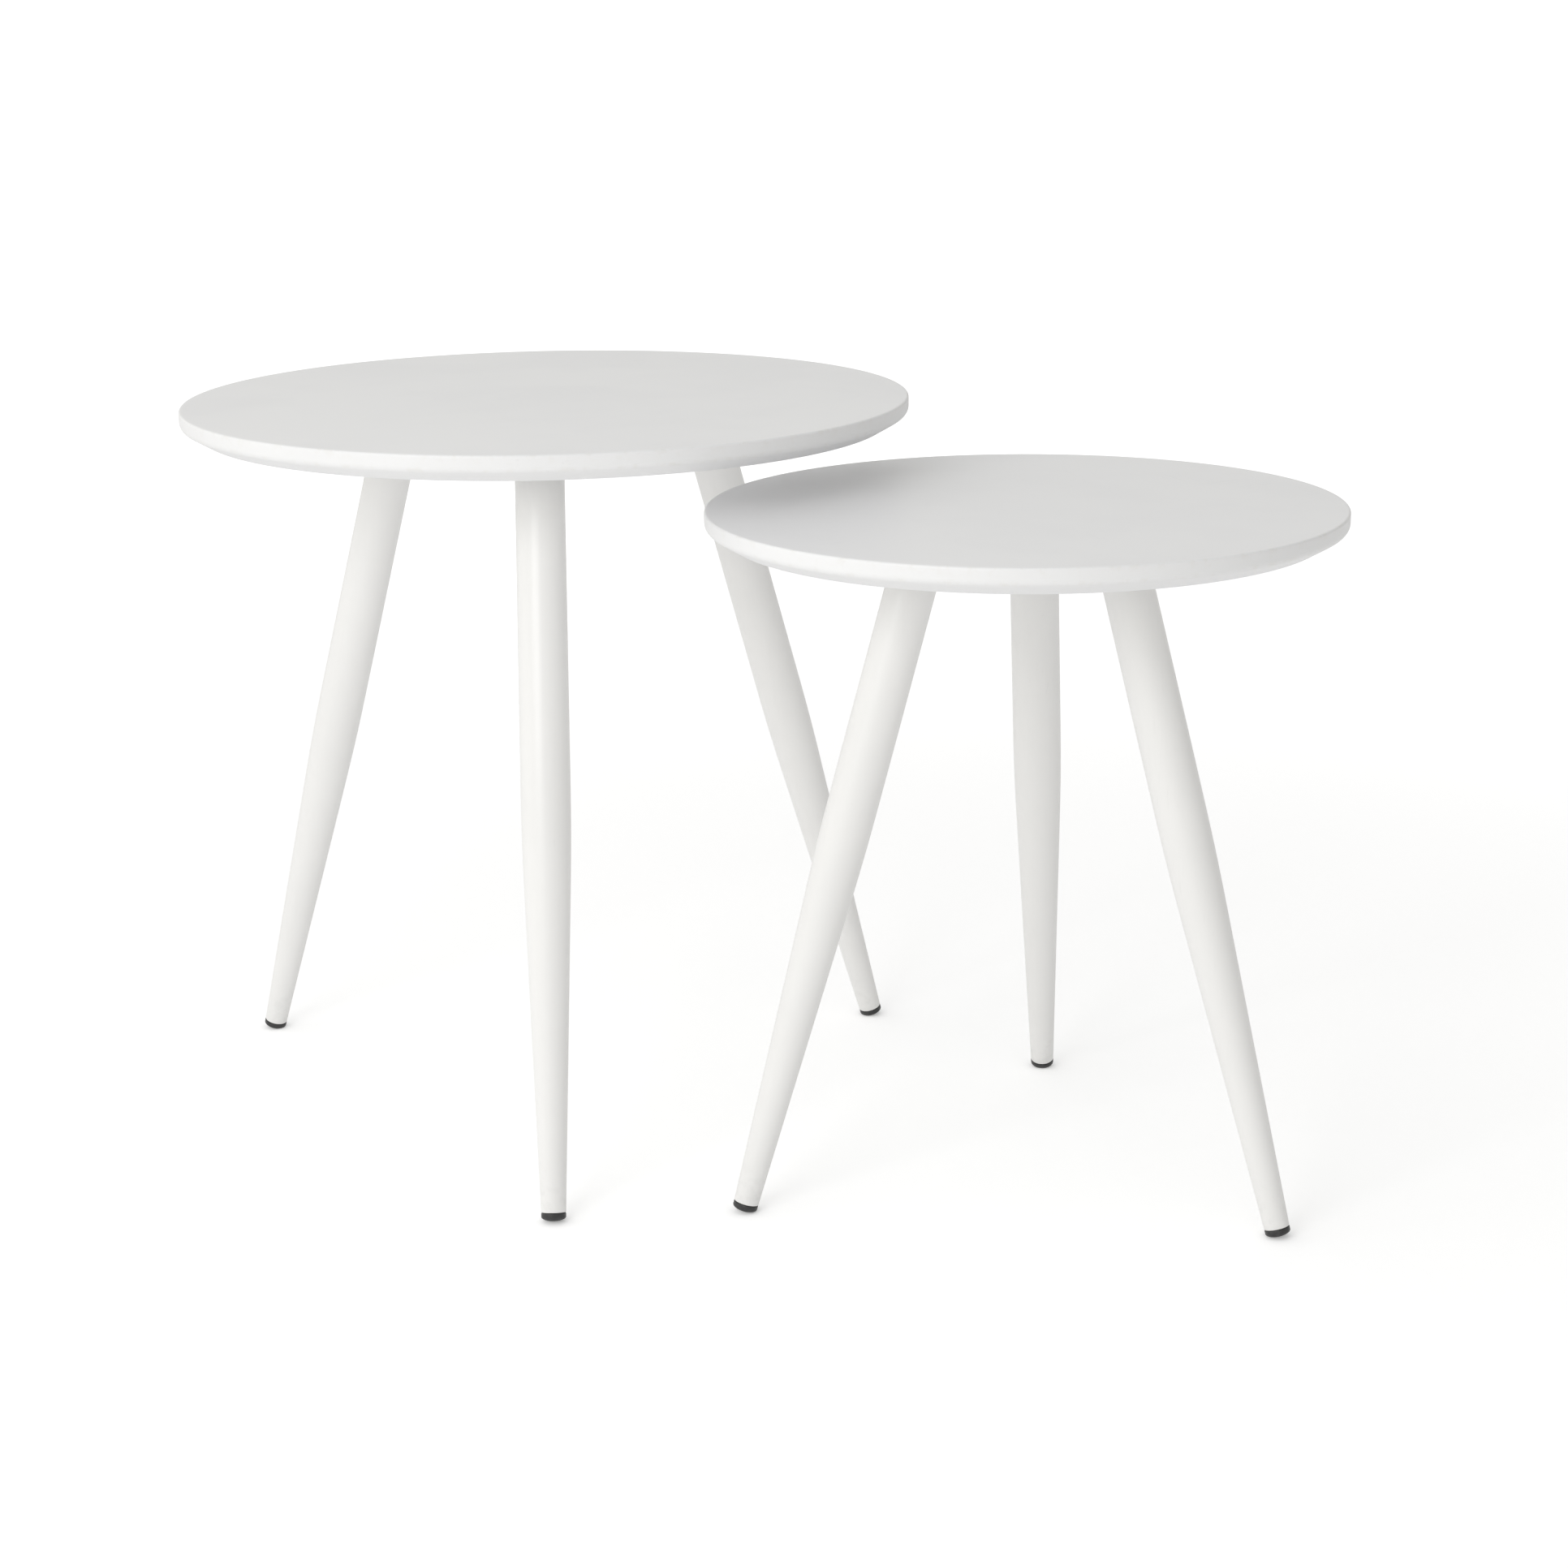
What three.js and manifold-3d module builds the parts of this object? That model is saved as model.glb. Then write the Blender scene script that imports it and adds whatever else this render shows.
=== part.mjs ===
// Nest of two round tables. The small table stands lower and slides in under the large one.
// Millimetres, +Z up, floor at z = 0. X runs from the large table's centre to the small one's.
// Each table is a lacquered board on three splayed tube legs. A leg is closed by a steel insert
// at its head, and a stud in the insert screws the leg into a pressed plate under the board.

import * as THREE from 'three';
import { mergeVertices } from 'three/addons/utils/BufferGeometryUtils.js';
import Module from 'manifold-3d';

const wasm = await Module();
wasm.setup();

// ---- Driving dimensions, in millimetres and degrees ----

// Tables
const LARGE_TOP_DIAMETER = 490;
const LARGE_HEIGHT = 490;
const LARGE_LEG_SPREAD = 120; // table centre to where a leg's axis meets the underside
const LARGE_TURN = 1; // from the position in which one leg points straight away from the small table
const SMALL_TOP_DIAMETER = 403;
const SMALL_LEG_SPREAD = 70;
const SMALL_TURN = -9.4; // from the position in which one leg points straight away from the large table
const NEST_CLEARANCE = 29; // between the large board's underside and the small board's face
const TOP_OVERLAP = 89.5; // how far the small board reaches in under the large one
const LEG_COUNT = 3;
const SPLAY = 16.5; // leg's lean from upright

// Boards
const TOP_THICKNESS = 18;
const TOP_EDGE_RADIUS = 1.5;
const BEVEL_HEIGHT = 8;
const BEVEL_DEPTH = 14;
const BEVEL_BLEND = 2.5; // length of each flank of the softened edge between rim and bevel

// Leg tubes
const LEG_DIAMETER = 32;
const FOOT_DIAMETER = 16;
const LEG_WALL = 1.5;
const TAPER_LENGTH = 240;
const TAPER_BLEND = 30; // half length of the curve where the taper begins

// Leg inserts and studs
const INSERT_LENGTH = 10;
const STUD_DIAMETER = 8;
const STUD_END_SPACE = 0.5; // between the stud's end and the board

// Mounting plates
const PLATE_THICKNESS = 2;
const PLATE_CORNER = 8;
const PLATE_EDGE = 7; // screw centre to plate edge
const SEAT_LIP = 4; // how far the slanted seat reaches past the leg
const SEAT_STEP = 1.6; // flange to the nearest point of the seat
const COLLAR_DIAMETER = 13;
const COLLAR_HEIGHT = 4;

// Wood screws
const SCREW_DIAMETER = 4;
const SCREW_LENGTH = 14;
const SCREW_TIP = 2.5;
const SCREW_HEAD_DIAMETER = 8;
const SCREW_HEAD_HEIGHT = 2.6;
const SCREW_HEAD_SPACE = 5; // between a screw head and the seat

// Glides
const GLIDE_RIM = 2.5;
const GLIDE_DOME = 3;
const GLIDE_SPIGOT = 12;
const GLIDE_FLAT = 0.3; // depth of the flat that the floor leaves on the dome

// Fits
const GAP = 0.3;

// Segments round each kind of piece
const TOP_SEGMENTS = 72;
const LEG_SEGMENTS = 20;
const SEAT_SEGMENTS = 24;
const SCREW_SEGMENTS = 8;

// ---- Sizes that follow from them ----

const splay = THREE.MathUtils.degToRad(SPLAY);
const legRadius = LEG_DIAMETER / 2;
const footRadius = FOOT_DIAMETER / 2;
const studRadius = STUD_DIAMETER / 2;
const studBore = studRadius + GAP;
const screwBore = SCREW_DIAMETER / 2 + GAP;

// Distances down a leg's axis, from where it meets the underside of the board
const seatRadius = legRadius + SEAT_LIP;
const seatDrop = (seatRadius * Math.sin(splay) + GAP + PLATE_THICKNESS + SEAT_STEP) / Math.cos(splay);
const legHead = seatDrop + GAP;
const studTop = (studRadius * Math.sin(splay) + GAP + STUD_END_SPACE) / Math.cos(splay);
const insertEnd = legHead + INSERT_LENGTH;

// The plate's flange is centred over the seat, and its screws clear the seat at the corners
const plateShift = seatDrop * Math.sin(splay);
const screwReach = seatRadius / Math.cos(splay) + SCREW_HEAD_SPACE + SCREW_HEAD_DIAMETER / 2;
const screwOffset = screwReach / Math.SQRT2;
const plateHalf = screwOffset + PLATE_EDGE;
const headSeat = -(GAP + PLATE_THICKNESS + GAP); // height of a screw head's shoulder below the board
const pilotDepth = headSeat + SCREW_LENGTH + GAP;

// The dome under a glide is part of a sphere
const domeRadius = (footRadius ** 2 + GLIDE_DOME ** 2) / (2 * GLIDE_DOME);
const glideHeight = GLIDE_RIM + GLIDE_DOME;

const smallHeight = LARGE_HEIGHT - TOP_THICKNESS - NEST_CLEARANCE;
const tableSpacing = (LARGE_TOP_DIAMETER + SMALL_TOP_DIAMETER) / 2 - TOP_OVERLAP;

// ---- Materials ----

const finishes = {
  board: { color: '#dededc', roughness: 0.42, metalness: 0 },
  leg: { color: '#ebeae6', roughness: 0.4, metalness: 0.1 },
  zinc: { color: '#a9acae', roughness: 0.35, metalness: 0.9 },
  glide: { color: '#2a2a2c', roughness: 0.55, metalness: 0 },
};

// ---- Geometry helpers ----

// Geometry with its shared corners merged and the empty triangles at its poles left out.
function closed(geometry) {
  const bare = geometry.clone();
  bare.deleteAttribute('normal');
  bare.deleteAttribute('uv');
  const merged = mergeVertices(bare, 1e-4);
  const corners = merged.index.array;
  const kept = [];
  for (let i = 0; i < corners.length; i += 3) {
    const [a, b, c] = corners.slice(i, i + 3);
    if (a !== b && b !== c && c !== a) kept.push(a, b, c);
  }
  merged.setIndex(kept);
  return merged;
}

function toSolid(geometry) {
  const { attributes, index } = closed(geometry);
  return new wasm.Manifold(new wasm.Mesh({
    numProp: 3,
    vertProperties: new Float32Array(attributes.position.array),
    triVerts: new Uint32Array(index.array),
  }));
}

function toGeometry(solid) {
  const { vertProperties, triVerts } = solid.getMesh();
  const geometry = new THREE.BufferGeometry();
  geometry.setAttribute('position', new THREE.BufferAttribute(vertProperties, 3));
  geometry.setIndex(new THREE.BufferAttribute(triVerts, 1));
  return geometry;
}

// Turns a profile of [radius, height] points, listed bottom to top on its outside, about Z.
function revolve(profile, segments) {
  const points = profile.map(([radius, height]) => new THREE.Vector2(radius, height));
  return new THREE.LatheGeometry(points, segments).rotateX(Math.PI / 2);
}

// An upright cylinder between two heights.
function rod(radius, low, high, segments) {
  return revolve([[0, low], [radius, low], [radius, high], [0, high]], segments);
}

// The same cylinder along a leg's axis, between two distances down it.
function rodOnLeg(radius, near, far, segments) {
  return rod(radius, -far, -near, segments).rotateY(-splay);
}

function block(low, high) {
  const size = new THREE.Vector3().subVectors(high, low);
  const centre = new THREE.Vector3().addVectors(high, low).multiplyScalar(0.5);
  return new THREE.BoxGeometry(size.x, size.y, size.z).translate(centre.x, centre.y, centre.z);
}

// Points of a circular arc in a [radius, height] profile, both ends included.
function arc(centre, radius, from, to, steps) {
  return Array.from({ length: steps + 1 }, (_, i) => {
    const angle = THREE.MathUtils.degToRad(from + ((to - from) * i) / steps);
    return [centre[0] + radius * Math.cos(angle), centre[1] + radius * Math.sin(angle)];
  });
}

function piece(name, geometry, finish) {
  const mesh = new THREE.Mesh(closed(geometry), new THREE.MeshStandardMaterial(finishes[finish]));
  mesh.name = name;
  return mesh;
}

// ---- Pieces ----

// The four screw centres of a plate, from the point where the leg's axis meets the board.
function screwCentres() {
  return [[1, 1], [-1, 1], [-1, -1], [1, -1]]
    .map(([x, y]) => [plateShift + x * screwOffset, y * screwOffset]);
}

// Board with a rounded upper edge and a bevel underneath; its underside is at z = 0.
function boardGeometry(diameter, legSpread, legAngles) {
  const radius = diameter / 2;
  const flank = Math.hypot(BEVEL_DEPTH, BEVEL_HEIGHT);
  const alongBevel = [BEVEL_DEPTH / flank, BEVEL_HEIGHT / flank].map((share) => share * BEVEL_BLEND);
  const profile = [
    [0, 0],
    [radius - BEVEL_DEPTH, 0],
    [radius - alongBevel[0], BEVEL_HEIGHT - alongBevel[1]],
    [radius, BEVEL_HEIGHT + BEVEL_BLEND],
    ...arc([radius - TOP_EDGE_RADIUS, TOP_THICKNESS - TOP_EDGE_RADIUS], TOP_EDGE_RADIUS, 0, 90, 2),
    [0, TOP_THICKNESS],
  ];
  let board = toSolid(revolve(profile, TOP_SEGMENTS));
  for (const angle of legAngles) {
    for (const [x, y] of screwCentres()) {
      const pilot = rod(screwBore, -GAP, pilotDepth, SCREW_SEGMENTS)
        .translate(legSpread + x, y, 0)
        .rotateZ(angle);
      board = board.subtract(toSolid(pilot));
    }
  }
  return toGeometry(board);
}

// Pressed plate: a flange under the board and a hollow slanted seat with a threaded collar in it.
function plateGeometry() {
  const half = plateHalf - PLATE_CORNER;
  const outline = new THREE.Shape();
  [[half, half, 0], [-half, half, 90], [-half, -half, 180], [half, -half, 270]].forEach(([x, y, from]) => {
    const start = THREE.MathUtils.degToRad(from);
    outline.absarc(x, y, PLATE_CORNER, start, start + Math.PI / 2, false);
  });
  const flange = new THREE.ExtrudeGeometry(outline, {
    depth: PLATE_THICKNESS,
    bevelEnabled: false,
    curveSegments: 4,
  }).translate(plateShift, 0, -GAP - PLATE_THICKNESS);
  const above = -seatRadius; // a point up the leg's axis that is clear above the flange
  const seatFloor = seatDrop - PLATE_THICKNESS;
  const reach = 2 * plateHalf;
  const belowBoard = block(new THREE.Vector3(-reach, -reach, -reach), new THREE.Vector3(reach, reach, -GAP));
  let plate = toSolid(flange)
    .add(toSolid(rodOnLeg(seatRadius, above, seatDrop, SEAT_SEGMENTS)))
    .subtract(toSolid(rodOnLeg(seatRadius - PLATE_THICKNESS, 2 * above, seatFloor, SEAT_SEGMENTS)))
    .add(toSolid(rodOnLeg(COLLAR_DIAMETER / 2, seatFloor - COLLAR_HEIGHT, seatFloor + GAP, SEAT_SEGMENTS)))
    .intersect(toSolid(belowBoard))
    .subtract(toSolid(rodOnLeg(studBore, above, 2 * seatDrop, SEAT_SEGMENTS)));
  for (const [x, y] of screwCentres()) {
    plate = plate.subtract(toSolid(rod(screwBore, headSeat, 0, SCREW_SEGMENTS).translate(x, y, 0)));
  }
  return toGeometry(plate);
}

// Pan-head wood screw, point up, with its head's shoulder at z = 0.
function screwGeometry() {
  const head = SCREW_HEAD_DIAMETER / 2;
  return revolve([
    [0, -SCREW_HEAD_HEIGHT],
    [head * 0.6, -SCREW_HEAD_HEIGHT],
    [head, -SCREW_HEAD_HEIGHT * 0.4],
    [head, 0],
    [SCREW_DIAMETER / 2, 0],
    [SCREW_DIAMETER / 2, SCREW_LENGTH - SCREW_TIP],
    [0, SCREW_LENGTH],
  ], SCREW_SEGMENTS);
}

// Tube that runs at full diameter from its head and then tapers to the foot.
function tubeGeometry(footEnd) {
  const shoulder = footEnd - TAPER_LENGTH;
  const slope = (legRadius - footRadius) / TAPER_LENGTH;
  const outside = [
    [footRadius, -footEnd],
    [legRadius - slope * TAPER_BLEND, -shoulder - TAPER_BLEND],
    [legRadius - (slope * TAPER_BLEND) / 4, -shoulder],
    [legRadius, -shoulder + TAPER_BLEND],
    [legRadius, -legHead],
  ];
  const inside = outside.map(([radius, height]) => [radius - LEG_WALL, height]).reverse();
  return revolve([...outside, ...inside, outside[0]], LEG_SEGMENTS);
}

// Steel ring in the head of the tube, threaded for the stud.
function insertGeometry() {
  const radius = legRadius - LEG_WALL - GAP;
  return revolve([
    [studBore, -insertEnd],
    [radius, -insertEnd],
    [radius, -legHead],
    [studBore, -legHead],
    [studBore, -insertEnd],
  ], LEG_SEGMENTS);
}

// Plug in the foot of the tube, with a dome that stands on the floor and is flat where it touches.
function glideGeometry(footEnd, underside) {
  const rimTop = -footEnd - GAP;
  const spigotRadius = footRadius - LEG_WALL - GAP;
  const domeCentre = rimTop - glideHeight + domeRadius;
  const domeEdge = THREE.MathUtils.radToDeg(Math.asin(footRadius / domeRadius));
  const profile = [
    ...arc([0, domeCentre], domeRadius, -90, domeEdge - 90, 4),
    [footRadius, rimTop],
    [spigotRadius, rimTop],
    [spigotRadius, rimTop + GLIDE_SPIGOT],
    [0, rimTop + GLIDE_SPIGOT],
  ];
  profile[0][0] = 0;
  const glide = toSolid(revolve(profile, LEG_SEGMENTS).rotateY(-splay));
  const side = underside;
  const floor = block(new THREE.Vector3(-side, -side, -2 * side), new THREE.Vector3(side, side, -underside));
  return toGeometry(glide.subtract(toSolid(floor)));
}

// ---- Assemblies ----

// One leg with all its fittings. Its origin is where the leg's axis meets the board, the leg
// leans towards +X, and `underside` is the height of that point above the floor.
function buildLeg(name, underside) {
  const leg = new THREE.Group();
  const domeHeight = domeRadius - GLIDE_FLAT;
  const apex = (underside - domeHeight) / Math.cos(splay) + domeRadius;
  const footEnd = apex - glideHeight - GAP;

  leg.add(piece(`${name}_plate`, plateGeometry(), 'zinc'));
  screwCentres().forEach(([x, y], i) => {
    const screw = piece(`${name}_screw_${i + 1}`, screwGeometry(), 'zinc');
    screw.position.set(x, y, headSeat);
    leg.add(screw);
  });

  const axis = new THREE.Group();
  axis.rotation.y = -splay;
  axis.add(piece(`${name}_stud`, rod(studRadius, -insertEnd, -studTop, LEG_SEGMENTS), 'zinc'));
  axis.add(piece(`${name}_insert`, insertGeometry(), 'zinc'));
  axis.add(piece(`${name}_tube`, tubeGeometry(footEnd), 'leg'));
  leg.add(axis);

  leg.add(piece(`${name}_glide`, glideGeometry(footEnd, underside), 'glide'));
  return leg;
}

// A whole table. Each entry of `legNames` is a leg, counter-clockwise from `firstAngle`.
function buildTable(name, { diameter, height, legSpread, firstAngle, legNames }) {
  const table = new THREE.Group();
  const underside = height - TOP_THICKNESS;
  const legAngles = legNames.map((_, i) => (
    THREE.MathUtils.degToRad(firstAngle + (i * 360) / LEG_COUNT)
  ));
  const board = piece(`${name}_top`, boardGeometry(diameter, legSpread, legAngles), 'board');
  board.position.z = underside;
  table.add(board);

  legNames.forEach((legName, i) => {
    const station = new THREE.Group();
    station.rotation.z = legAngles[i];
    const leg = buildLeg(`${name}_${legName}_leg`, underside);
    leg.position.set(legSpread, 0, underside);
    station.add(leg);
    table.add(station);
  });
  return table;
}

const nest = new THREE.Group();

const largeTable = buildTable('large', {
  diameter: LARGE_TOP_DIAMETER,
  height: LARGE_HEIGHT,
  legSpread: LARGE_LEG_SPREAD,
  firstAngle: 180 + LARGE_TURN,
  legNames: ['outer', 'front', 'rear'],
});

const smallTable = buildTable('small', {
  diameter: SMALL_TOP_DIAMETER,
  height: smallHeight,
  legSpread: SMALL_LEG_SPREAD,
  firstAngle: SMALL_TURN,
  legNames: ['outer', 'rear', 'front'],
});
smallTable.position.x = tableSpacing;
nest.add(largeTable, smallTable);

// The origin is on the floor under the middle of the whole nest's bounding box.
nest.updateMatrixWorld(true);
const centre = new THREE.Box3().setFromObject(nest, true).getCenter(new THREE.Vector3());
largeTable.position.x -= centre.x;
smallTable.position.x -= centre.x;

export default nest;
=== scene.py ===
"""Nest of two round tables: the finished pieces and their materials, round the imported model.

Lengths are in metres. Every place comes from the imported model: a table's board gives its centre,
and each leg's tube gives the line that its fittings share.
"""

import functools
import math

import bmesh
import bpy
import numpy as np
from bpy.props import FloatProperty, FloatVectorProperty, IntProperty, PointerProperty
from mathutils import Matrix, Vector


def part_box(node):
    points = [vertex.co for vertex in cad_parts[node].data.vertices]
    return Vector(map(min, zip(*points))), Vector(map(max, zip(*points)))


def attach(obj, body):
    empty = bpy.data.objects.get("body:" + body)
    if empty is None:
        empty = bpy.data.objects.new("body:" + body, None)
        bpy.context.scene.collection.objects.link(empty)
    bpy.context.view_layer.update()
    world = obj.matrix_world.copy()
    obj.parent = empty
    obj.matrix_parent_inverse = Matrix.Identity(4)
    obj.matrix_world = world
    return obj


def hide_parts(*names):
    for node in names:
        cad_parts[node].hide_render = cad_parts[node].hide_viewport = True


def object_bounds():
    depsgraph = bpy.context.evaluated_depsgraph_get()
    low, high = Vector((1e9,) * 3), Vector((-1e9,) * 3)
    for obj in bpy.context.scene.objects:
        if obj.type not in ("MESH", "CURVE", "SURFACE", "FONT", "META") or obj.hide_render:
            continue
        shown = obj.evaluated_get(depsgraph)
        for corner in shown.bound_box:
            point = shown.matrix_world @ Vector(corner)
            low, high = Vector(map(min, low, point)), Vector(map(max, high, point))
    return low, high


bl_info = {
    "name": "Nest of round tables",
    "version": (1, 0, 0),
    "blender": (4, 5, 0),
    "location": "3D View > Sidebar > Tables",
    "description": "Builds two nesting tables with bevelled boards on splayed tube legs",
    "category": "Object",
}

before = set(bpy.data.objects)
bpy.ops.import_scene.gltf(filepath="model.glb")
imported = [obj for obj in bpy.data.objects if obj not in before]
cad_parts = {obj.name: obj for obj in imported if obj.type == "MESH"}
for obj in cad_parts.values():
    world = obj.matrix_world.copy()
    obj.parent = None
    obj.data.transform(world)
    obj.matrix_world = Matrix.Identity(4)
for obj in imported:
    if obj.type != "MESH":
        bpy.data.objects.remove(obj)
cad_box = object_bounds()

TABLES = ("large", "small")
LEGS = ("outer", "front", "rear")
GAP = 0.0003  # clearance between pieces that fit together
WEAR = "edge_wear"  # point attribute: 1 on a worn edge, 0 away from it
SCREWS = (1, 2, 3, 4)  # of each plate

# Numbers that no user would change
BROKEN_EDGE = 0.0004  # rounding of a turned part's edges
CUT_PAST = 0.001  # how far a cutting tool reaches past the face that it cuts
BOARD_UNDER_EDGE = 0.001  # rounding between bevel and underside
BOARD_WEAR_REACH = 0.003  # how far from an edge its wear reaches
GLIDE_RIM_EDGE = 0.0006  # rounding of the rim where it meets the tube
RIB_RAMP, RIB_BACK = 0.0008, 0.0003  # lengths of a gripping rib's two flanks
PLATE_BEND = 0.0012  # reach of the bends in the pressed sheet
PLATE_EDGE = 0.0003  # bevel on the sheet's cut edges
COLLAR_RADIUS, COLLAR_HEIGHT = 0.0065, 0.004  # of the collar round a stud, on a plate
STUD_BORE = 0.0043  # radius of the collar's plain bore
STUD_TIP = 0.0002  # length over which a stud's ends narrow
SCREW_HOLE = 0.0023  # radius of a plate's screw holes
SHANK_RADIUS, POINT_LENGTH = 0.002, 0.0045  # of a wood screw
SCREW_THREAD_DEPTH = SHANK_RADIUS * 0.28
FLOOR_REACH, FLOOR_DROP = 30.0, 0.0002  # half the floor's side, and its depth under the feet
FLOOR_NEAR, FLOOR_FAR = 0.5, 3.0  # distances over which the floor brightens
FLOOR_FAR_SEEN = 0.6  # brightness added to the floor far away
SKY_LEAST = 0.05  # light from the darkest side of the sky
SKY_CLEARING = 1.8  # how fast the horizon's tint goes with height
SENSOR_WIDTH = 36  # of the camera, in millimetres


# ---- Places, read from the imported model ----


def corners_of(node):
    """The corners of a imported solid, each once, as rows of x, y and z."""
    found = [v.co[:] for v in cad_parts[node].data.vertices]
    return np.unique(np.round(np.array(found), 6), axis=0)


def node_name(table, leg, part):
    return f"{table}_{leg}_leg_{part}"


def screw_nodes(table, leg):
    return [node_name(table, leg, f"screw_{i}") for i in SCREWS]


class Board:
    """Centre, radius and heights of a table's board."""

    def __init__(self, table):
        low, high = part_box(f"{table}_top")
        self.radius = (high.x - low.x) / 2
        self.centre = Vector(((low.x + high.x) / 2, (low.y + high.y) / 2, low.z))
        self.thickness = high.z - low.z


class LegLine:
    """The line that a leg's pieces share. Distances run down it from the board's underside."""

    def __init__(self, table, leg):
        self.table, self.leg = table, leg
        board = Board(table)
        tube = corners_of(self.node("tube"))
        middle = tube.mean(axis=0)
        down = np.linalg.svd(tube - middle)[2][0]
        down *= -np.sign(down[2])
        start = middle + down * (board.centre.z - middle[2]) / down[2]
        along = (tube - start) @ down
        across = np.linalg.norm(tube - start - np.outer(along, down), axis=1)
        self.head, self.foot = along.min(), along.max()
        self.head_radius = across.max()
        self.foot_radius = across[along > self.foot - GAP].max()
        self.wall = self.foot_radius - across.min()
        self.start, self.down = Vector(start), Vector(down)
        self.outward = Vector((down[0], down[1], 0)).normalized()
        self.splay = math.acos(-down[2])

    def node(self, part):
        """Name of one of the leg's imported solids."""
        return node_name(self.table, self.leg, part)

    def along_leg(self):
        """Matrix from a frame whose -Z runs down the leg."""
        up = -self.down
        side = up.cross(self.outward).normalized()
        return self._matrix(side.cross(up), side, up)

    def upright(self):
        """Matrix from an upright frame whose +X points away from the table's middle."""
        up = Vector((0, 0, 1))
        return self._matrix(self.outward, up.cross(self.outward), up)

    def _matrix(self, x, y, z):
        turned = Matrix((x, y, z)).transposed().to_4x4()
        return Matrix.Translation(self.start) @ turned


def each_leg():
    return (LegLine(table, leg) for table in TABLES for leg in LEGS)


# ---- Outlines and meshes ----


def rounded(corners, steps=6):
    """Outline of (radius, height, rounding) corners, with an arc at each corner that is rounded."""
    outline = []
    for i, (x, y, rounding) in enumerate(corners):
        here = Vector((x, y))
        if not rounding:
            outline.append(here)
            continue
        before = (Vector(corners[i - 1][:2]) - here).normalized()
        after = (Vector(corners[(i + 1) % len(corners)][:2]) - here).normalized()
        half = before.angle(after) / 2
        centre = here + (before + after).normalized() * rounding / math.sin(half)
        start = here + before * rounding / math.tan(half) - centre
        end = here + after * rounding / math.tan(half) - centre
        sweep = start.angle_signed(end)
        for step in range(steps + 1):
            turn = Matrix.Rotation(-sweep * step / steps, 2)
            outline.append(centre + turn @ start)
    return outline


def as_mesh(name, bm):
    """Hands a shape that is built over to a new mesh."""
    mesh = bpy.data.meshes.new(name)
    bm.to_mesh(mesh)
    bm.free()
    return mesh


def turned_mesh(name, outline, segments, ring=False):
    """Turns an outline of (radius, height) points about Z. A ring's outline closes on itself."""
    bm = bmesh.new()
    rows = []
    for x, y in outline:
        count = 1 if abs(x) < 1e-9 else segments
        angles = (2 * math.pi * i / segments for i in range(count))
        rows.append([bm.verts.new((x * math.cos(a), x * math.sin(a), y)) for a in angles])
    pairs = list(zip(rows, rows[1:]))
    if ring:
        pairs.append((rows[-1], rows[0]))
    for low, high in pairs:
        for i in range(segments):
            j = (i + 1) % segments
            face = [low[i % len(low)], low[j % len(low)], high[j % len(high)], high[i % len(high)]]
            face = list(dict.fromkeys(face))
            if len(face) > 2:
                bm.faces.new(face)
    bmesh.ops.recalc_face_normals(bm, faces=bm.faces)
    return smoothed(as_mesh(name, bm))


def bridged_mesh(name, rings):
    """Closed mesh through rings of equally many points, with a cap at either end."""
    bm = bmesh.new()
    rows = [[bm.verts.new(point) for point in ring] for ring in rings]
    for low, high in zip(rows, rows[1:]):
        for i in range(len(low)):
            j = (i + 1) % len(low)
            bm.faces.new((low[i], low[j], high[j], high[i]))
    bm.faces.new(reversed(rows[0]))
    bm.faces.new(rows[-1])
    return as_mesh(name, bm)


def smoothed(mesh, sharp_degrees=32):
    mesh.shade_smooth()
    mesh.set_sharp_from_angle(angle=math.radians(sharp_degrees))
    return mesh


def add_object(name, data):
    """Puts a mesh, a light or a camera in the scene as an object."""
    made = bpy.data.objects.new(name, data)
    bpy.context.scene.collection.objects.link(made)
    return made


def settle(obj):
    """Turns an object's modified shape into a plain mesh and removes the object."""
    graph = bpy.context.evaluated_depsgraph_get()
    mesh = bpy.data.meshes.new_from_object(obj.evaluated_get(graph), depsgraph=graph)
    bpy.data.objects.remove(obj)
    return mesh


def thickened(sheet, thickness, edge, segments, degrees):
    """The plain mesh of a sheet object, with its thickness and with its cut edges bevelled."""
    wall = sheet.modifiers.new("wall", "SOLIDIFY")
    wall.thickness = thickness
    wall.offset = -1
    edges = sheet.modifiers.new("edges", "BEVEL")
    edges.width = edge
    edges.segments = segments
    edges.limit_method = "ANGLE"
    edges.angle_limit = math.radians(degrees)
    return settle(sheet)


def carve(mesh, tools, operation="DIFFERENCE"):
    """Cuts the tool meshes from a mesh, or joins them to it."""
    body = add_object("carved", mesh)
    helpers = [add_object("tool", tool) for tool in tools]
    for helper in helpers:
        cut = body.modifiers.new("cut", "BOOLEAN")
        cut.operation = operation
        cut.solver = "EXACT"
        cut.object = helper
    result = settle(body)
    for helper in helpers:
        bpy.data.objects.remove(helper)
    return smoothed(result)


def rod_mesh(radius, low, high, segments=32):
    return turned_mesh("rod", [(0, low), (radius, low), (radius, high), (0, high)], segments)


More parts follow.
